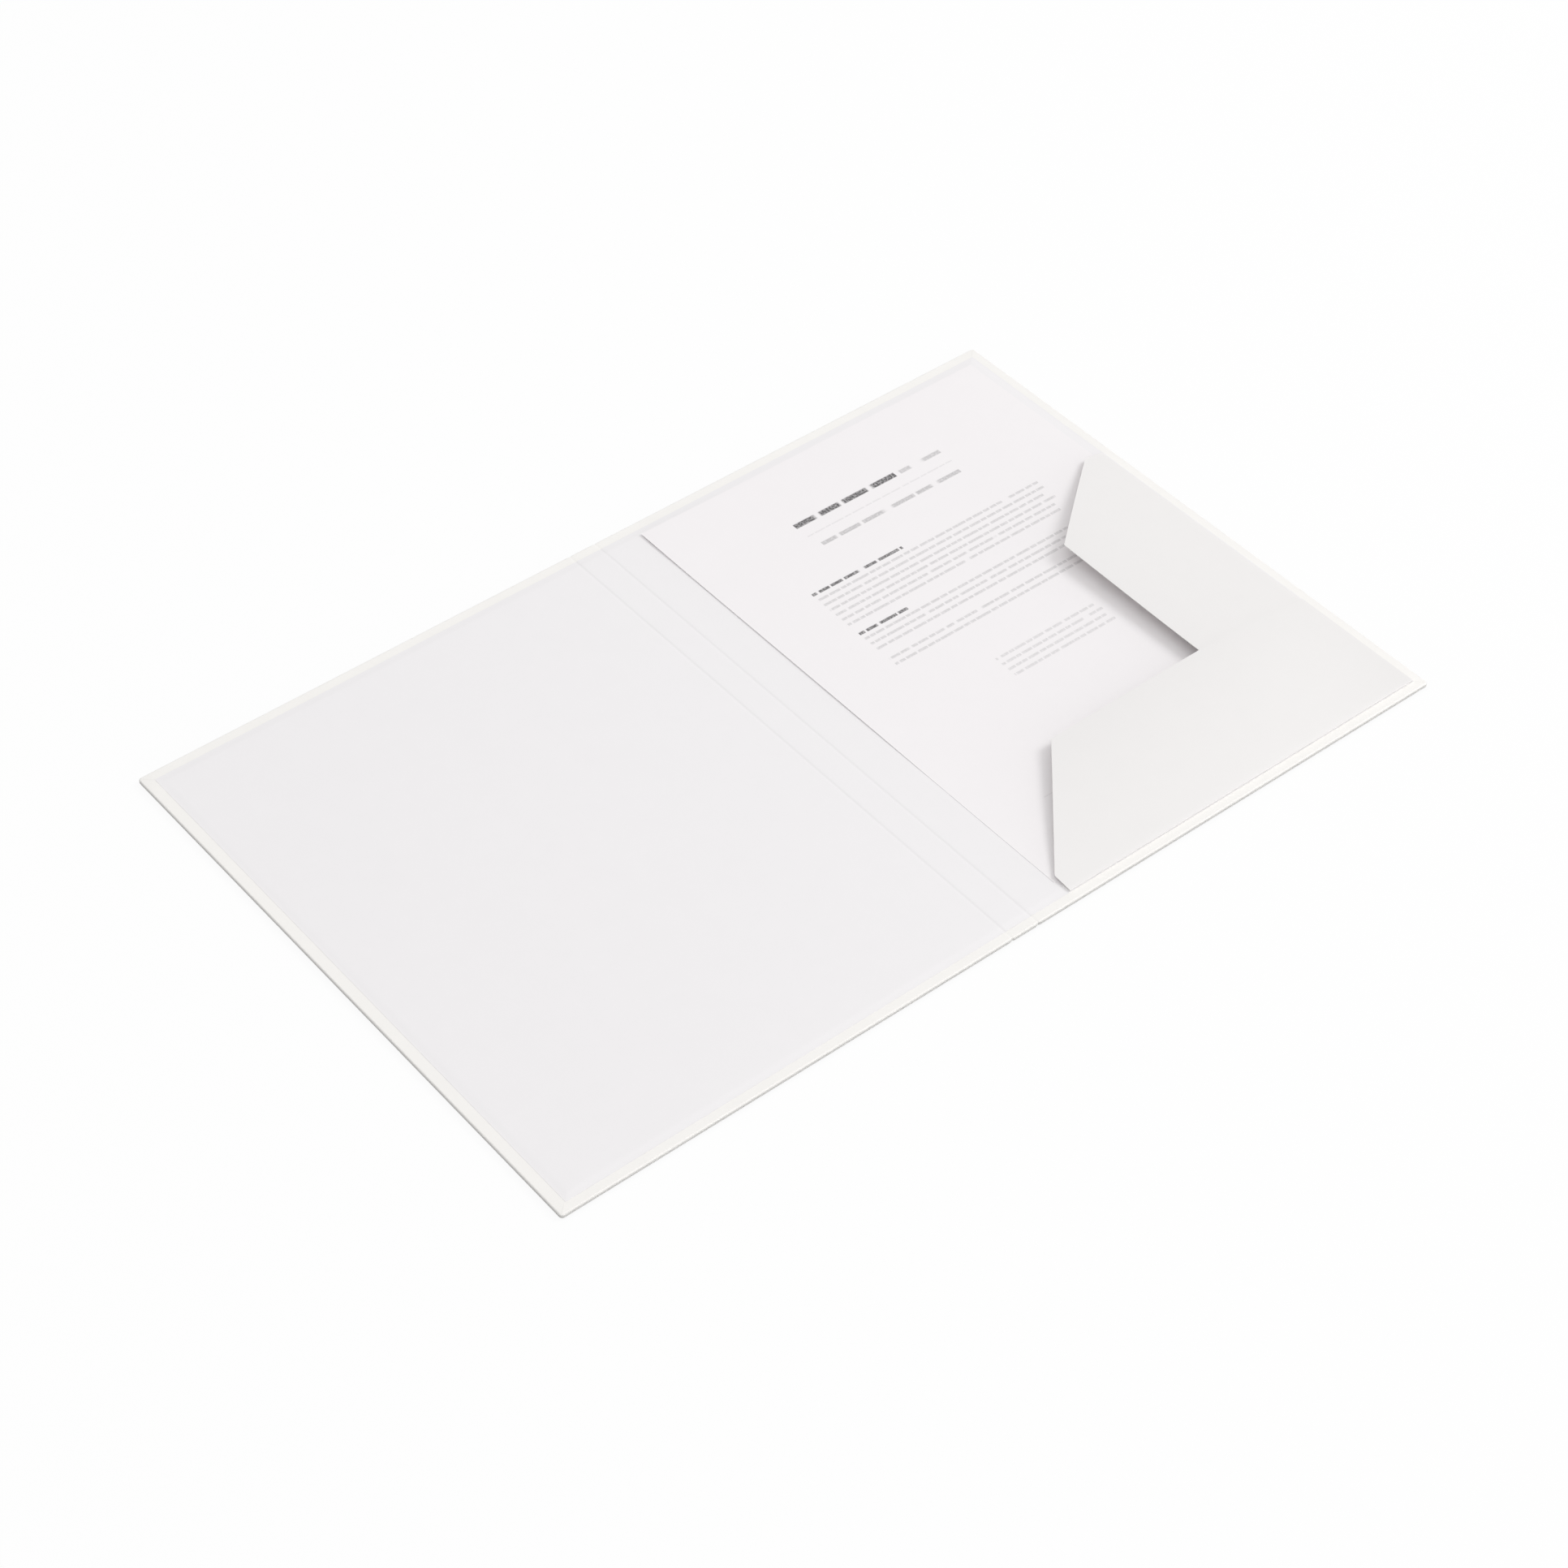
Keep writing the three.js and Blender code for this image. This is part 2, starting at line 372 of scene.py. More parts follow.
class Finish(Nodes):
    """A material and its nodes. place is where a point lies on the piece at rest, in millimetres."""

    def __init__(self, name, attribute=None):
        self.material = bpy.data.materials.new(name)
        super().__init__(self.material)
        self.shader = self.tree.nodes["Principled BSDF"]
        if attribute:
            self.place = self.node("ShaderNodeAttribute", {"attribute_name": attribute}, output="Vector")
        else:
            found = self.node("ShaderNodeTexCoord", output="Object")
            self.place = self.vector("SCALE", found, {3: 1 / MM})
        self.x, self.y, self.z = self.split(self.place)

    def set(self, **sockets):
        for name, value in sockets.items():
            self.feed(self.shader.inputs[name.replace("_", " ")], value)


def fibres(finish):
    """Paper's cloudy look-through, its fine tooth, and the short fibres in it."""
    cloud = finish.noise(finish.place, 0.09, 3, 0.55)
    tooth = finish.noise(finish.place, 3.1, 3, 0.65)
    lengthwise = finish.vector("MULTIPLY", finish.place, {1: (0.5, 2.4, 1.0)})
    crosswise = finish.vector("MULTIPLY", finish.place, {1: (2.2, 0.6, 1.0)})
    strands = finish.noise(lengthwise, 1.3, 2, 0.5).larger(finish.noise(crosswise, 1.5, 2, 0.5))
    return cloud, tooth, strands


def paper(finish, shade, tooth_height, tone, roughness):
    """Fills in a paper finish, and gives its colour and height.

    shade is its colour, and tone how far its clouds and fibres go from it.
    """
    cloud, tooth, strands = fibres(finish)
    deep = tuple(channel * (1 - tone) for channel in shade[:3]) + (1,)
    pale = tuple(min(channel * (1 + tone), 1) for channel in shade[:3]) + (1,)
    drift = cloud * 0.3 + tooth * 0.35 + strands * 0.35
    colour = finish.mix(drift.rise(0.32, 0.68), deep, pale)
    finish.set(Base_Color=colour, Roughness=roughness + (tooth - 0.5) * 0.12)
    height = tooth * 0.6 + strands * 0.4
    finish.set(Normal=finish.bump(height, tooth_height))
    return colour, height


def wrap_finish():
    """Pale covering paper, greyer in the mitred folds at its corners and rubbed pale along its edges."""
    finish = Finish("wrap_paper", "flat_place")
    colour, height = paper(finish, WRAP_SHADE, WRAP_TOOTH, tone=0.014, roughness=0.58)
    from_side = FORE_EDGE - finish.x.distance(0)
    from_end = END_EDGE - finish.y.distance(0)
    on_top = finish.z.rise(RIM_TOP - 0.3, RIM_TOP - 0.05)
    near_corner = (1 - from_side.larger(from_end).rise(RIM - 0.2, RIM + 0.3)) * on_top
    mitre = (1 - (from_side - from_end).distance(0).rise(0.04, 0.16)) * near_corner
    rub = 1 - from_side.smaller(from_end).rise(0.0, 1.2)
    scuff = finish.noise(finish.place, 0.7, 3, 0.6).rise(0.5, 0.75) * rub
    colour = finish.mix(scuff * 0.06, colour, WRAP_WORN)
    colour = finish.mix(mitre * 0.18, colour, WRAP_FOLD)
    finish.set(Base_Color=colour, Normal=finish.bump(height - mitre * 1.2, WRAP_TOOTH))
    return finish


def lining_finish():
    """Lining paper: smoother and cooler than the wrap, with painted shade along the pressed creases."""
    finish = Finish("lining_paper", "flat_place")
    colour = paper(finish, LINING_SHADE, LINING_TOOTH, tone=0.007, roughness=0.7)[0]
    off_crease = (finish.x.distance(0) - CREASE).distance(0)
    # Painted shade along each crease's valley, a quarter of the way to the crease shade colour
    pressed = 1 - off_crease.rise(0.1, 0.9)
    finish.set(Base_Color=finish.mix(pressed * 0.25, colour, LINING_CREASE_SHADE))
    return finish


def card_finish():
    """Pocket card, with a painted highlight a shade paler along its fold lines."""
    finish = Finish("pocket_card")
    colour = paper(finish, CARD_SHADE, CARD_TOOTH, tone=0.007, roughness=0.66)[0]
    from_fold = (SIDE_FOLD - finish.x).smaller(finish.y - FOOT_FOLD)
    # Painted highlight along the folds, half way to the fold highlight colour
    pressed = 1 - from_fold.rise(0.3, 2.2)
    finish.set(Base_Color=finish.mix(pressed * 0.5, colour, CARD_FOLD_HIGHLIGHT))
    return finish


def greyboard_finish():
    """Recycled board: grey-brown with darker and paler flecks, and layered edges."""
    finish = Finish("greyboard")
    cloud, tooth, strands = fibres(finish)
    pulp = (cloud * 0.4 + strands * 0.6).rise(0.35, 0.7)
    colour = finish.mix(pulp, BOARD_DARK, BOARD_PALE)
    fleck = finish.noise(finish.place, 2.3, 1, 0.5).rise(0.66, 0.74)
    colour = finish.mix(fleck * 0.5, colour, FLECK_DARK)
    pale = finish.noise(finish.vector("ADD", finish.place, {1: (31, 17, 5)}), 1.9, 1, 0.5).rise(0.68, 0.76)
    colour = finish.mix(pale * 0.4, colour, FLECK_PALE)
    plies = finish.noise(finish.at(finish.x * 0.05, finish.y * 0.05, finish.z * 6), 1, 2, 0.5)
    finish.set(Base_Color=colour, Roughness=0.9, Normal=finish.bump(tooth + plies * 0.6, BOARD_TOOTH))
    return finish


def elastic_finish():
    """Flat woven elastic: cords side by side along its length, crossed by fine ribs."""
    finish = Finish("elastic")
    across = finish.x - BAND_X
    cords = (across * (2 * math.pi / CORD_PITCH)).wave()
    ribs = (finish.y * (2 * math.pi / RIB_PITCH) + (across / CORD_PITCH).floor() * math.pi).wave()
    lint = finish.noise(finish.place, 2.5, 2, 0.5)
    weave = cords * 0.65 + ribs * 0.35
    colour = finish.mix(weave * 0.7 + lint * 0.3, ELASTIC_DEEP, ELASTIC_PALE)
    finish.set(Base_Color=colour, Roughness=0.85, Normal=finish.bump(weave + lint * 0.2, WEAVE_DEPTH))
    return finish


def dashes(finish, left, right, top, pitch, rows, weight, seed, height, length):
    """Rows of plain dashes where a block of print would be: left to right, downwards from top."""
    down = (top - finish.y) / pitch
    row = down.floor()
    across_row = (down - row).inside(0.5 - height / 2, 0.5 + height / 2, 0.14)
    ragged = right - finish.chance(finish.at(row, seed)) * (right - left) * 0.08 * (1 if rows > 1 else 0)
    block = finish.x.rise(left, left + 0.15) * (1 - (finish.x - ragged).rise(0, 0.15))
    block = block * down.rise(-0.01, 0.01) * (1 - down.rise(rows - 0.01, rows + 0.01))
    wander = finish.noise(finish.at(finish.x / length * 0.55, row * 5.3 + seed), 1.0, 1, 0.4) * 2.6
    along = finish.x / length + wander
    dash = (along - along.floor()).inside(0.08, 0.94, 0.08)
    stroke = finish.noise(finish.at(finish.x * 1.15, finish.y * 0.8 + seed), 1.0, 1, 0.5).rise(0.3, 0.62)
    return across_row * block * dash * (0.6 + stroke * 0.4) * weight


def letter_finish():
    """Writing paper with plain dashes on its upper face, thick ones above and rows of fine ones below."""
    finish = Finish("letter_paper", "flat_place")
    colour = paper(finish, LETTER_SHADE, LETTER_TOOTH, tone=0.006, roughness=0.74)[0]
    marks = [dashes(finish, *row) for row in PRINT]
    ink = marks[0]
    for mark in marks[1:]:
        ink = ink.larger(mark)
    ink = ink * finish.z.rise(TAB_BOTTOM + SHEET - 0.05, TAB_BOTTOM + SHEET - 0.01)
    finish.set(Base_Color=finish.mix(ink, colour, PRINT_GREY))
    return finish


WRAP_FINISH = wrap_finish()
LINING_FINISH = lining_finish()
CARD_FINISH = card_finish()
GREYBOARD_FINISH = greyboard_finish()
ELASTIC_FINISH = elastic_finish()
LETTER_FINISH = letter_finish()


# Modelling, in millimetres until a piece is settled


def slab(bm, low, high):
    """A box between two opposite corners."""
    made = bmesh.ops.create_cube(bm, size=1)["verts"]
    size = [high[i] - low[i] for i in range(3)]
    middle = [(high[i] + low[i]) / 2 for i in range(3)]
    bmesh.ops.scale(bm, vec=size, verts=made)
    bmesh.ops.translate(bm, vec=middle, verts=made)


def round_over(bm, radius, segments, corner=0):
    """Rounds a slab's corners as seen from above, and then its edges."""
    edges = bm.edges[:]
    if corner:
        upright = [edge for edge in bm.edges if abs(edge.verts[0].co.z - edge.verts[1].co.z) > NEAR]
        bmesh.ops.bevel(
            bm, geom=upright, affect="EDGES", offset=corner, offset_type="OFFSET",
            segments=CORNER_PARTS, profile=0.5, material=-1,
        )
        edges = [edge for edge in bm.edges if abs(edge.verts[0].co.z - edge.verts[1].co.z) < NEAR]
    bmesh.ops.bevel(
        bm, geom=edges, affect="EDGES", offset=radius, offset_type="OFFSET", segments=segments,
        profile=0.5, material=-1,
    )


def cut(bm, axis, place, clear_inner=False, clear_outer=False):
    """A loop of edges right round the piece at a place on an axis, or its end cut off there."""
    normal = Vector((0, 0, 0))
    normal[axis] = 1
    return bmesh.ops.bisect_plane(
        bm, geom=bm.verts[:] + bm.edges[:] + bm.faces[:], dist=1e-5, plane_co=normal * place,
        plane_no=normal, clear_inner=clear_inner, clear_outer=clear_outer,
    )["geom_cut"]


def hold_flat(bm, radius):
    """Loops just inside the rounded edges, so that the rounding doesn't shade the flat faces."""
    for axis in range(3):
        places = [vertex.co[axis] for vertex in bm.verts]
        for place in (min(places) + radius * HOLD_INSIDE, max(places) - radius * HOLD_INSIDE):
            cut(bm, axis, place)


def remove_where(bm, test):
    """Removes the faces whose middles pass the test."""
    gone = [face for face in bm.faces if test(face.calc_center_median())]
    bmesh.ops.delete(bm, geom=gone, context="FACES")


def apply_modifiers(thing):
    """Makes an object's modifiers part of its mesh."""
    bpy.context.view_layer.update()
    shape = bpy.data.meshes.new_from_object(thing.evaluated_get(bpy.context.evaluated_depsgraph_get()))
    old = thing.data
    thing.modifiers.clear()
    thing.data = shape
    shape.name = thing.name
    bpy.data.meshes.remove(old)


def settle(bm, name, finish, wall=None, offset=-1, sharp=SHARP, spring=None):
    """Makes the modelled shape a piece in metres, with a wall if it was a bare surface.

    Each point keeps its place on the flat piece, and then spring lifts it.
    """
    shape = bpy.data.meshes.new(name)
    bm.to_mesh(shape)
    bm.free()
    piece = bpy.data.objects.new(name, shape)
    bpy.context.scene.collection.objects.link(piece)
    if wall:
        solid = piece.modifiers.new("wall", "SOLIDIFY")
        solid.thickness = wall
        solid.offset = offset
        solid.use_even_offset = True
        apply_modifiers(piece)
    shape = piece.data
    places = [vertex.co.copy() for vertex in shape.vertices]
    flat = shape.attributes.new("flat_place", "FLOAT_VECTOR", "POINT")
    flat.data.foreach_set("vector", [value for place in places for value in place])
    if spring:
        for place in places:
            place.z += spring(place.x, place.y)
    shape.vertices.foreach_set("co", [value * MM for place in places for value in place])
    shape.materials.clear()
    shape.materials.append(finish.material)
    shape.shade_smooth()
    shape.set_sharp_from_angle(angle=math.radians(sharp))
    shape.update()
    return piece


def span(side, inset=0):
    """A half's reach in X, past the spine's middle at one end and in from the fore edge at the other."""
    return (-PAST, FORE_EDGE - inset) if side > 0 else (inset - FORE_EDGE, PAST)


def halve(bm, side, fill):
    """Cuts the half off at the spine's middle and adds loops across its crease."""
    edge = cut(bm, 0, 0, clear_inner=side > 0, clear_outer=side < 0)
    if fill:
        rim = [part for part in edge if isinstance(part, bmesh.types.BMEdge)]
        bmesh.ops.holes_fill(bm, edges=rim, sides=0)
    for step in CREASE_STEPS:
        for way in (-1, 1) if step else (1,):
            cut(bm, 0, side * CREASE + way * step)


def pressed(x):
    """How deep the crease's groove is at x, as a share of its middle."""
    return math.exp(-((abs(x) - CREASE) / GROOVE_WIDTH) ** 2)


def wrap_half(side):
    """Half of the wrap: under the boards, round their edges and turned in over their tops."""
    bm = bmesh.new()
    x0, x1 = span(side)
    slab(bm, (x0, -END_EDGE, UNDERSIDE), (x1, END_EDGE, RIM_TOP))
    round_over(bm, EDGE_ROUND, segments=5, corner=CORNER_ROUND)
    hold_flat(bm, EDGE_ROUND)
    halve(bm, side, fill=False)
    window_x = FORE_EDGE - TURN_IN
    window_y = END_EDGE - TURN_IN
    cut(bm, 0, side * window_x)
    for y in (-window_y, window_y):
        cut(bm, 1, y)
    remove_where(bm, lambda c: c.z > RIM_TOP - NEAR and abs(c.x) < window_x and abs(c.y) < window_y)
    if side > 0:
        for way in (-1, 1):
            cut(bm, 0, BAND_X + way * SLOT_HALF_X)
        for way in (-1, 1):
            cut(bm, 1, way * SLOT_Y - SLOT_HALF_Y)
            cut(bm, 1, way * SLOT_Y + SLOT_HALF_Y)
        remove_where(bm, lambda c: (
            c.z < UNDERSIDE + NEAR
            and abs(c.x - BAND_X) < SLOT_HALF_X
            and abs(abs(c.y) - SLOT_Y) < SLOT_HALF_Y
        ))
    middle = (UNDERSIDE + RIM_TOP) / 2
    for vertex in bm.verts:
        groove = pressed(vertex.co.x)
        near_end = smooth(abs(vertex.co.y), END_EDGE - GROOVE_END_REACH, END_EDGE)
        if vertex.co.z > middle:
            vertex.co.z -= groove * GROOVE_INSIDE * smooth(vertex.co.z, middle, RIM_TOP)
        else:
            vertex.co.z += groove * GROOVE_OUTSIDE * (1 - smooth(vertex.co.z, UNDERSIDE, middle))
        vertex.co.y -= math.copysign(groove * near_end * GROOVE_AT_ENDS, vertex.co.y)
    return settle(bm, "wrap_back_half" if side > 0 else "wrap_front_half", WRAP_FINISH, wall=WRAP)


def board(name, x0, x1):
    """A board with its edges eased, so that the wrap goes round them and the creases have room to fold."""
    bm = bmesh.new()
    inset = WRAP + GLUE
    slab(bm, (x0, inset - END_EDGE, BOARD_BOTTOM), (x1, END_EDGE - inset, BOARD_TOP))
    round_over(bm, BOARD_ROUND, segments=4, corner=CORNER_ROUND - inset)
    hold_flat(bm, BOARD_ROUND)
    return settle(bm, name, GREYBOARD_FINISH)


def spine_board():
    """The spine's board, between the two creases."""
    half = CREASE - CREASE_GAP / 2
    return board("spine_greyboard", -half, half)


def front_board():
    """The front cover's board, which has no slots."""
    return board("front_greyboard", WRAP + GLUE - FORE_EDGE, -CREASE - CREASE_GAP / 2)


def notch(name, low, high):
    """A block that is taken out of a board."""
    bm = bmesh.new()
    slab(bm, low, high)
    return settle(bm, name, GREYBOARD_FINISH)


def carve(piece, cutters):
    """Takes the cutters' shapes out of a piece, and removes them."""
    for cutter in cutters:
        away = piece.modifiers.new("away", "BOOLEAN")
        away.operation = "DIFFERENCE"
        away.solver = "EXACT"
        away.object = cutter
    apply_modifiers(piece)
    for cutter in cutters:
        bpy.data.objects.remove(cutter)
    piece.data.shade_smooth()
    piece.data.set_sharp_from_angle(angle=math.radians(SHARP))
    return piece


def back_board():
    """The back cover's board, with the slots and recesses that the elastic's ends lie in."""
    piece = board("back_greyboard", CREASE + CREASE_GAP / 2, FORE_EDGE - WRAP - GLUE)
    inner = SLOT_Y - BAND_THICKNESS / 2 - BAND_TAIL - SLOT_CLEARANCE
    shelf = BOARD_TOP - BAND_THICKNESS - GLUE
    cutters = []
    for name, way in (("head", 1), ("foot", -1)):
        slot = sorted((way * (SLOT_Y - SLOT_HALF_Y), way * (SLOT_Y + SLOT_HALF_Y)))
        tail = sorted((way * inner, way * SLOT_Y))
        for kind, reach, bottom in (("slot", slot, CUTTER_BOTTOM), ("recess", tail, shelf)):
            low = (BAND_X - SLOT_HALF_X, reach[0], bottom)
            high = (BAND_X + SLOT_HALF_X, reach[1], CUTTER_TOP)
            cutters.append(notch(f"{name}_{kind}", low, high))
    return carve(piece, cutters)


def lining_half(side):
    """Half of the lining sheet, glued down inside the rim and pressed into its crease."""
    bm = bmesh.new()
    rim = RIM if side > 0 else RIM + LINING_LEFT_IN
    edge_x = side * (FORE_EDGE - rim)
    foot = RIM - END_EDGE
    head = END_EDGE - RIM - LINING_HEAD_IN
    x0, x1 = span(side, rim)
    slab(bm, (x0, foot, LINING_BOTTOM), (x1, head, LINING_TOP))
    round_over(bm, LINING_ROUND, segments=2)
    for step in LINING_EASE_STEPS:
        cut(bm, 0, edge_x - side * step)
        cut(bm, 1, head - step)
        cut(bm, 1, foot + step)
    flap_end = SIDE_FOLD - FOOT_FLAP_LENGTH
    flap_head = FOOT_FOLD + SIDE_FLAP_LENGTH
    for step in (0, BESIDE_FLAPS / 2, BESIDE_FLAPS):
        cut(bm, 0, flap_end - step)
        cut(bm, 1, flap_head + step)
    halve(bm, side, fill=True)
    for vertex in bm.verts:
        x, y, z = vertex.co
        beside = 1 if side < 0 else smooth(y, flap_head, flap_head + BESIDE_FLAPS)
        below = 1 - smooth(x, flap_end - BESIDE_FLAPS, flap_end)
        at_sides = (1 - smooth(abs(edge_x - x), 0, LINING_EASE)) * beside
        at_head = 1 - smooth(head - y, 0, LINING_EASE)
        at_foot = (1 - smooth(y - foot, 0, LINING_EASE)) * below
        if z > LINING_BOTTOM + LINING / 2:
            vertex.co.z -= (LINING - LINING_EDGE_LEFT) * max(at_sides, at_head, at_foot)
        vertex.co.z -= pressed(vertex.co.x) * GROOVE_INSIDE
    return settle(bm, "lining_back_half" if side > 0 else "lining_front_half", LINING_FINISH)


def pocket_lift(x, y):
    """How far the flaps spring up: nothing at their folds, most along their free edges."""
    across_side = min(max((SIDE_FOLD - x) / SIDE_FLAP_WIDTH, 0), 1)
    across_foot = min(max((y - FOOT_FOLD) / FOOT_FLAP_DEPTH, 0), 1)
    towards_head = smooth(y, FOOT_FOLD + FOOT_FLAP_DEPTH, FOOT_FOLD + SIDE_FLAP_LENGTH)
    towards_end = smooth(-x, SIDE_FLAP_WIDTH - SIDE_FOLD, FOOT_FLAP_LENGTH - SIDE_FOLD)
    lift = CORNER_LIFT * math.sin(across_side * math.pi / 2) * math.sin(across_foot * math.pi / 2)
    lift *= 1 + (HEAD_LIFT_GAIN - 1) * towards_head
    return lift * (1 + (END_LIFT_GAIN - 1) * towards_end)


def flap(name, leaf, tab_ends, tab_width, leaf_bottom, place):
    """A folded flap: a leaf, a roll at its fold, and a tab under it.

    leaf is its outline, as distances from the fold and along it. place turns such a pair into X and Y.
    The flap is drawn flat, with the tab below zero, and each point is then put where folding brings it.
    """
    middle = leaf_bottom + CARD / 2
    tab_middle = TAB_BOTTOM + CARD / 2
    turn = (middle - tab_middle) / 2
    outer = turn + CARD / 2
    arc = math.pi * turn
    tab = arc + tab_width - outer
    bm = bmesh.new()
    start, end = tab_ends
    outline = [(-tab, start), (-tab, end)]
    outline += [(max(across - outer, 0), along) for across, along in leaf]
    # A tab that is shorter than its leaf meets the fold at a corner of its own
    if (0, start) not in outline:
        outline.append((0, start))
    bm.faces.new([bm.verts.new((across, along, 0)) for across, along in outline])
    widest = max(point[0] for point in outline)
    first = min(point[1] for point in outline)
    last = max(point[1] for point in outline)
    for count in range(1, ROLL_PARTS + 1):
        cut(bm, 0, -arc * count / ROLL_PARTS)
    for across in (*FOLD_STEPS, *(widest * count / LEAF_PARTS for count in range(1, LEAF_PARTS))):
        cut(bm, 0, across)
    for count in range(1, LENGTH_PARTS):
        cut(bm, 1, first + (last - first) * count / LENGTH_PARTS)
    for vertex in bm.verts:
        across, along = vertex.co.x, vertex.co.y
        if across >= 0:
            x, y = place(outer + across, along)
            vertex.co = (x, y, middle + pocket_lift(x, y) * smooth(across, 0, RISE_REACH))
        elif across > -arc:
            angle = -across / turn
            x, y = place(outer - turn * math.sin(angle), along)
            vertex.co = (x, y, (middle + tab_middle) / 2 + turn * math.cos(angle))
        else:
            x, y = place(outer - across - arc, along)
            vertex.co = (x, y, tab_middle)
    bmesh.ops.recalc_face_normals(bm, faces=bm.faces[:])
    return settle(bm, name, CARD_FINISH, wall=CARD, offset=0)


def side_flap():
    """The side flap, folded in along the lining's right edge."""
    head = FOOT_FOLD + SIDE_FLAP_LENGTH
    foot = FOOT_FOLD + CARD + GLUE
    fold = SIDE_FOLD - SIDE_FOLD_IN
    width = SIDE_FLAP_WIDTH - SIDE_FOLD_IN
    leaf = [
        (0, head), (SIDE_FLAP_HEAD_EDGE - SIDE_FOLD_IN, head), (width, head - SIDE_FLAP_SLANT),
        (width, foot), (0, foot),
    ]
    tab_ends = (FOOT_FOLD + GLUE_TAB + GLUE, head)
    tab_width = GLUE_TAB - SIDE_FOLD_IN

    def place(across, along):
        return fold - across, along

    return flap("side_flap", leaf, tab_ends, tab_width, SIDE_FLAP_BOTTOM, place)


def foot_flap():
    """The foot flap, folded up along the lining's foot edge, over the side flap."""
    end = SIDE_FOLD - FOOT_FLAP_LENGTH
    start = SIDE_FOLD - SIDE_FOLD_IN
    leaf = [
        (0, start), (FOOT_FLAP_DEPTH, start), (FOOT_FLAP_DEPTH, end + FOOT_FLAP_SLANT + FOOT_SLANT_IN),
        (FOOT_FLAP_END_EDGE, end), (0, end),
    ]
    tab_ends = (end, start)

    def place(across, along):
        return along, FOOT_FOLD + across

    return flap("foot_flap", leaf, tab_ends, GLUE_TAB, FOOT_FLAP_BOTTOM, place)


def letter_sheet():
    """The A4 sheet in the pocket, its head-left corner sprung up a little."""
    right = SIDE_FOLD - SHEET_FROM_SIDE_FOLD
    left = right - SHEET_WIDTH
    foot = FOOT_FOLD + SHEET_FROM_FOOT_FOLD
    head = foot + SHEET_HEIGHT
    bm = bmesh.new()
    bmesh.ops.create_grid(bm, x_segments=SHEET_PARTS[0], y_segments=SHEET_PARTS[1], size=0.5)
    bmesh.ops.scale(bm, vec=(SHEET_WIDTH, SHEET_HEIGHT, 1), verts=bm.verts[:])
    middle = ((left + right) / 2, (foot + head) / 2, TAB_BOTTOM + SHEET)
    bmesh.ops.translate(bm, vec=middle, verts=bm.verts[:])

    def spring(x, y):
        along = (y - foot - FOOT_FLAP_DEPTH) / (SHEET_HEIGHT - FOOT_FLAP_DEPTH)
        share = sum(gain * smooth(along, low, high) for low, high, gain in SHEET_RISES)
        return SHEET_CORNER_LIFT * share * (1 - smooth(x, left, left + SHEET_LIFT_REACH))

    return settle(bm, "a4_sheet", LETTER_FINISH, wall=SHEET, spring=spring)


def band_path():
    """The elastic's middle line in Y and Z, from a tail down to the outer face and up to the other tail."""
    low = BAND_THICKNESS / 2
    high = BOARD_TOP - BAND_THICKNESS / 2
    bend = BAND_BEND
    half = [(0, low), (SLOT_Y / 2, low), (SLOT_Y - BEND_LEAD, low)]
    for count in range(BEND_PARTS + 1):
        angle = math.pi / 2 * count / BEND_PARTS
        half.append((SLOT_Y - bend + bend * math.sin(angle), low + bend - bend * math.cos(angle)))
    for count in range(BEND_PARTS + 1):
        angle = math.pi / 2 * count / BEND_PARTS
        half.append((SLOT_Y - bend + bend * math.cos(angle), high - bend + bend * math.sin(angle)))
    half.append((SLOT_Y - BAND_THICKNESS / 2 - BAND_TAIL, high))
    return [(-y, z) for y, z in reversed(half[1:])] + half


def elastic_band():
    """The flat elastic round the back cover, its tails glued down under the lining."""
    path = band_path()
    bm = bmesh.new()
    bmesh.ops.create_grid(bm, x_segments=BAND_PARTS, y_segments=len(path) - 1, size=0.5)
    for vertex in bm.verts:
        y, z = path[round((vertex.co.y + 0.5) * (len(path) - 1))]
        vertex.co = (BAND_X + vertex.co.x * BAND_WIDTH, y, z)
    return settle(bm, "woven_elastic", ELASTIC_FINISH, wall=BAND_THICKNESS, offset=0, sharp=60)


def staged(name, shape, finish):
    """Puts one of the studio's things in the scene."""
    thing = bpy.data.objects.new(name, shape)
    bpy.context.scene.collection.objects.link(thing)
    shape.materials.append(finish)


# The pieces, each in place of its solids

blends = (
    (wrap_half(1), "spine", "back_cover", CREASE, "wrap_paper", ("back_wrap", "spine_wrap")),
    (wrap_half(-1), "front_cover", "spine", -CREASE, "wrap_paper", ("front_wrap",)),
    (lining_half(1), "spine", "back_cover", CREASE, "lining_paper", ("back_lining", "spine_lining")),
    (lining_half(-1), "front_cover", "spine", -CREASE, "lining_paper", ("front_lining",)),
)
for piece, left_body, right_body, fold, slot, nodes in blends:
    start = ((fold - CREASE_REACH) * MM, 0, LINING_TOP * MM)
    end = ((fold + CREASE_REACH) * MM, 0, LINING_TOP * MM)
    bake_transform(piece)
    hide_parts(*nodes)

rides = (
    (back_board(), "back_cover", "greyboard", "back_board"),
    (spine_board(), "spine", "greyboard", "spine_board"),
    (front_board(), "front_cover", "greyboard", "front_board"),
    (side_flap(), "back_cover", "pocket_card", "pocket_side_flap"),
    (foot_flap(), "back_cover", "pocket_card", "pocket_foot_flap"),
    (letter_sheet(), "back_cover", "letter_paper", "letter_sheet"),
    (elastic_band(), "back_cover", "elastic", "elastic_band"),
)
for piece, body, slot, node in rides:
    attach(piece, body)
    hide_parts(node)


# Studio: a white floor, a sky brightest overhead and leaning left with a low glow in front of the folder,
# a soft lamp from the right, and the photograph's camera

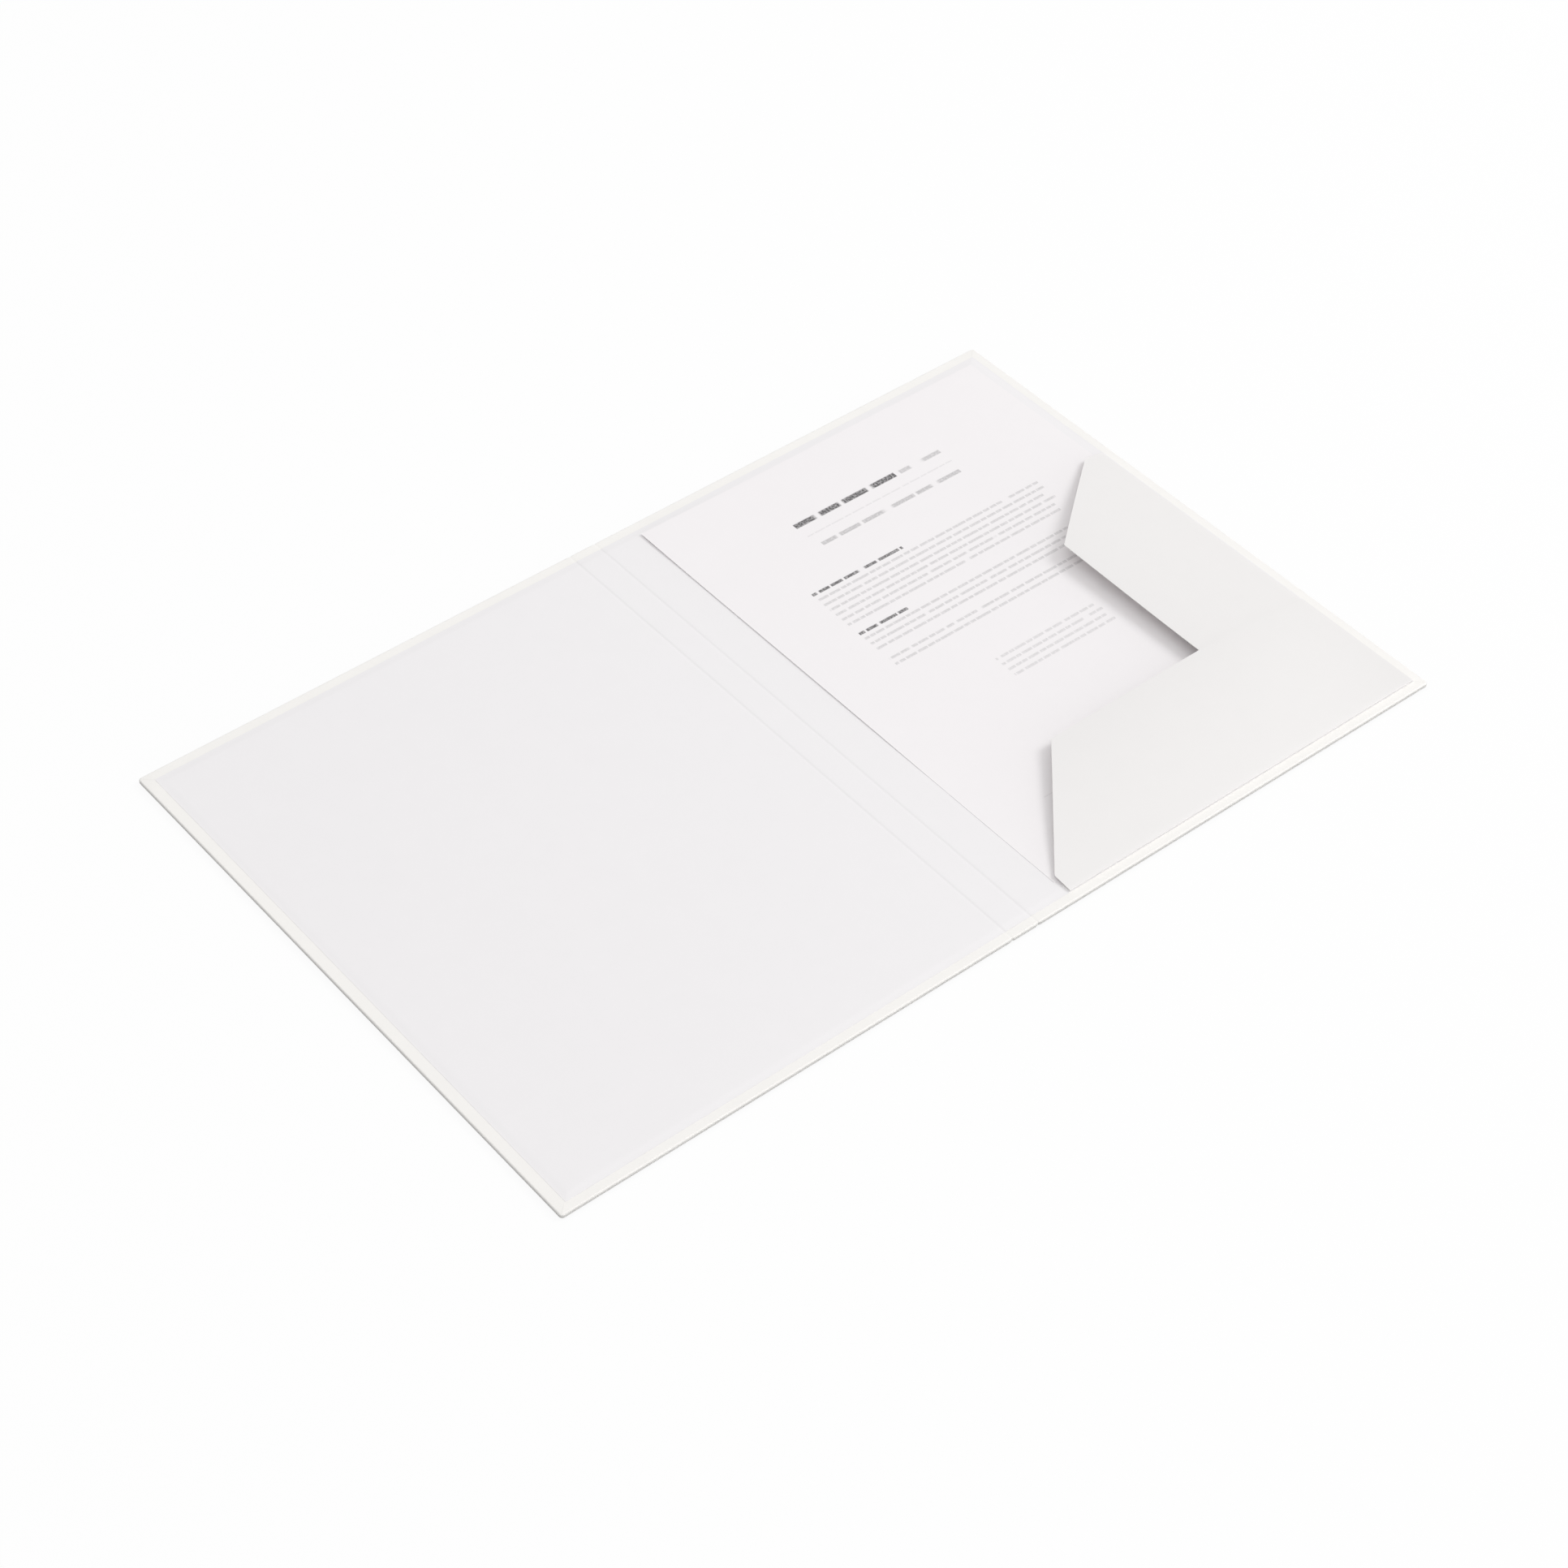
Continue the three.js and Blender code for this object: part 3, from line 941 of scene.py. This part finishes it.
bm = bmesh.new()
bmesh.ops.create_grid(bm, x_segments=1, y_segments=1, size=FLOOR_HALF)
floor_shape = bpy.data.meshes.new("floor")
bm.to_mesh(floor_shape)
bm.free()
floor_finish = bpy.data.materials.new("floor")
nodes = Nodes(floor_finish)
nodes.tree.nodes.clear()
bounce = nodes.node("ShaderNodeBsdfDiffuse", None, {"Color": FLOOR_BOUNCE})
shaded = nodes.node("ShaderNodeBsdfDiffuse", None, {"Color": WHITE})
glow = nodes.node("ShaderNodeEmission", None, {"Color": BACKDROP, "Strength": 1})
shown = nodes.node("ShaderNodeMixShader", None, {0: FLOOR_GLOW, 1: shaded, 2: glow})
surface = nodes.node("ShaderNodeMixShader", None, {0: nodes.seen(), 1: bounce, 2: shown})
nodes.feed(nodes.tree.nodes.new("ShaderNodeOutputMaterial").inputs[0], surface)
staged("floor", floor_shape, floor_finish)

world = bpy.data.worlds.new("studio")
bpy.context.scene.world = world
nodes = Nodes(world)
nodes.tree.nodes.clear()
x, y, z = nodes.split(nodes.node("ShaderNodeTexCoord", output="Generated"))
overhead = (z * OVERHEAD_Z + x * OVERHEAD_X).larger(0)
near_floor = 1 - z.larger(0)
front_glow = (0 - y).larger(0) * near_floor * near_floor * near_floor * near_floor * near_floor
top_glow = overhead * overhead * overhead
level = SKY_EVEN + x * SKY_RIGHT + top_glow * SKY_OVERHEAD + front_glow * SKY_FRONT
fill = nodes.node("ShaderNodeBackground", None, {"Color": WHITE, "Strength": level})
backdrop = nodes.node("ShaderNodeBackground", None, {"Color": BACKDROP, "Strength": 1})
surface = nodes.node("ShaderNodeMixShader", None, {0: nodes.seen(), 1: fill, 2: backdrop})
nodes.feed(nodes.tree.nodes.new("ShaderNodeOutputWorld").inputs[0], surface)

lamp = bpy.data.lights.new("softbox", "AREA")
lamp.shape = "DISK"
lamp.size = LAMP_SIZE
lamp.energy = LAMP_POWER
softbox = bpy.data.objects.new("softbox", lamp)
bpy.context.scene.collection.objects.link(softbox)
towards = Vector(LAMP_DIRECTION).normalized()
softbox.location = towards * LAMP_DISTANCE
softbox.rotation_euler = towards.to_track_quat("Z", "Y").to_euler()

lens = bpy.data.cameras.new("camera")
lens.lens = LENS
lens.sensor_width = SENSOR
lens.clip_start = 0.05
lens.clip_end = 50
camera = bpy.data.objects.new("camera", lens)
bpy.context.scene.collection.objects.link(camera)
elevation = math.radians(ELEVATION)
azimuth = math.radians(AZIMUTH)
back = Vector((
    math.sin(azimuth) * math.cos(elevation),
    -math.cos(azimuth) * math.cos(elevation),
    math.sin(elevation),
))
camera.location = Vector(AIM) + back * DISTANCE
camera.rotation_euler = back.to_track_quat("Z", "Y").to_euler()
bpy.context.scene.camera = camera
bpy.context.scene.view_settings.view_transform = "Standard"
bpy.context.scene.cycles.max_bounces = BOUNCES
bpy.context.scene.cycles.diffuse_bounces = BOUNCES
